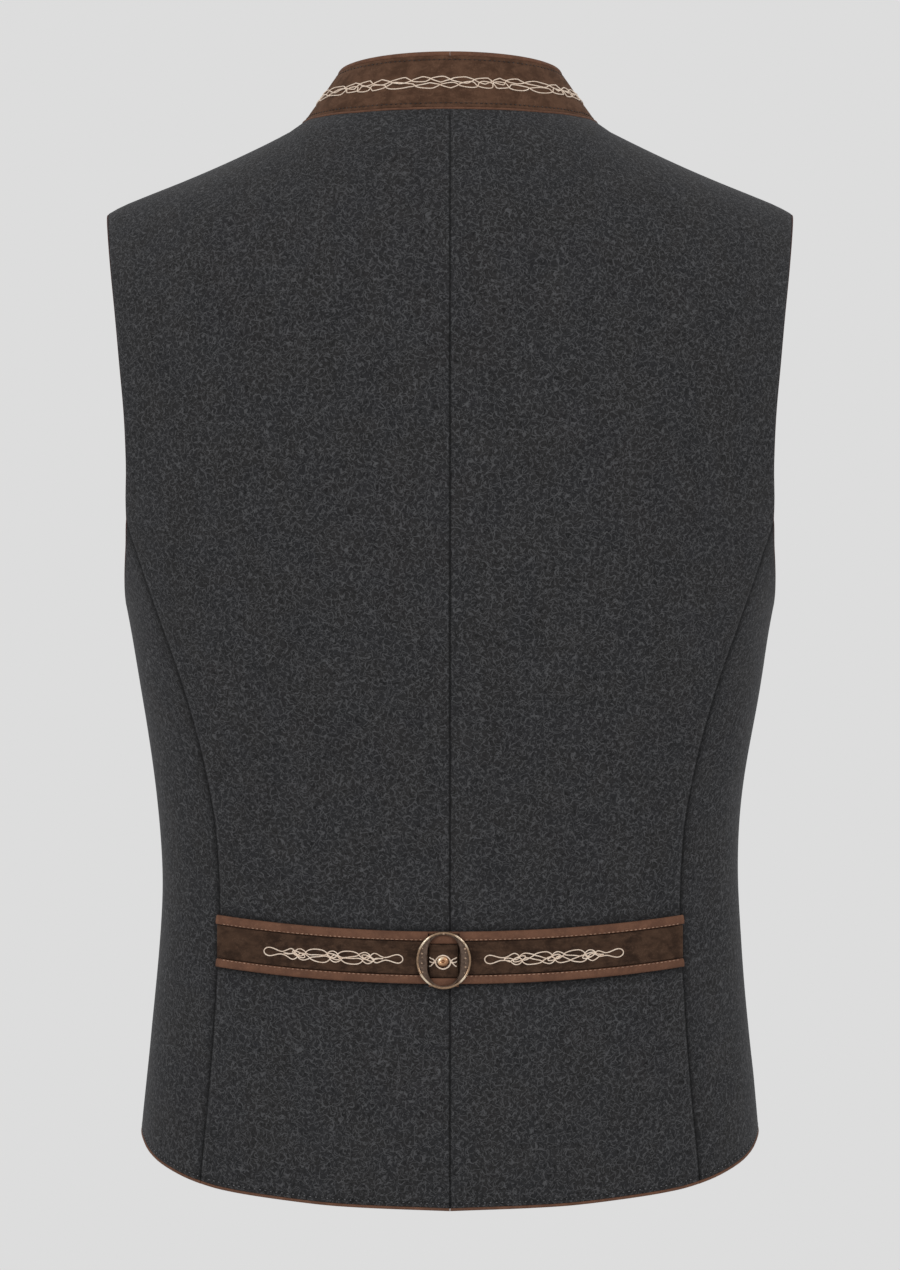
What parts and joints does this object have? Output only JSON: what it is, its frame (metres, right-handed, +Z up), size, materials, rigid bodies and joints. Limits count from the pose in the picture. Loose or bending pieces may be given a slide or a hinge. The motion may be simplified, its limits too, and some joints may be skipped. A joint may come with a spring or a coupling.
{
  "type": "embroidered folk waistcoat",
  "caption": "Sleeveless charcoal felt waistcoat with a brown suede stand collar and half belt, cream thread braid, leather edges and a round ring buckle at the back.",
  "frame": {"origin": "middle of the line between the neck points of the two shoulder seams, where a wearer's shoulders or a hanger would carry the waistcoat", "axes": "+Z up, the front faces -Y, +X is the wearer's left"},
  "size_m": [0.3994, 0.2591, 0.6565],
  "materials": {
    "charcoal_felt": "charcoal melange wool felt with fine pale curled fibres, matt",
    "brown_suede": "dark brown suede with a short nap",
    "brown_leather": "smooth matt nappa leather, reddish brown",
    "antique_brass": "aged brass, dark in the hollows and bright at the edges",
    "copper": "warm copper coloured cap, softly polished",
    "cream_thread": "cream embroidery thread, used by the scene's sewing"
  },
  "bodies": {
    "root": {"armhole_piping_left": "brown_leather", "armhole_piping_right": "brown_leather", "back_left": "charcoal_felt", "back_right": "charcoal_felt", "belt_bridge": "brown_suede", "belt_bridge_lower_binding": "brown_leather", "belt_bridge_upper_binding": "brown_leather", "belt_left": "brown_suede", "belt_left_lower_binding": "brown_leather", "belt_left_upper_binding": "brown_leather", "belt_right": "brown_suede", "belt_right_lower_binding": "brown_leather", "belt_right_upper_binding": "brown_leather", "belt_rivet": "copper", "button_1": "antique_brass", "button_2": "antique_brass", "button_3": "antique_brass", "button_4": "antique_brass", "button_5": "antique_brass", "button_6": "antique_brass", "button_7": "antique_brass", "collar": "brown_suede", "collar_binding_left": "brown_leather", "collar_binding_right": "brown_leather", "collar_piping": "brown_leather", "front_left": "charcoal_felt", "front_right": "charcoal_felt", "hem_piping_back_left": "brown_leather", "hem_piping_back_right": "brown_leather", "hem_piping_front_left": "brown_leather", "hem_piping_front_right": "brown_leather", "hem_piping_side_left": "brown_leather", "hem_piping_side_right": "brown_leather", "ring_buckle": "antique_brass", "side_left": "charcoal_felt", "side_right": "charcoal_felt"}
  },
  "joints": []
}
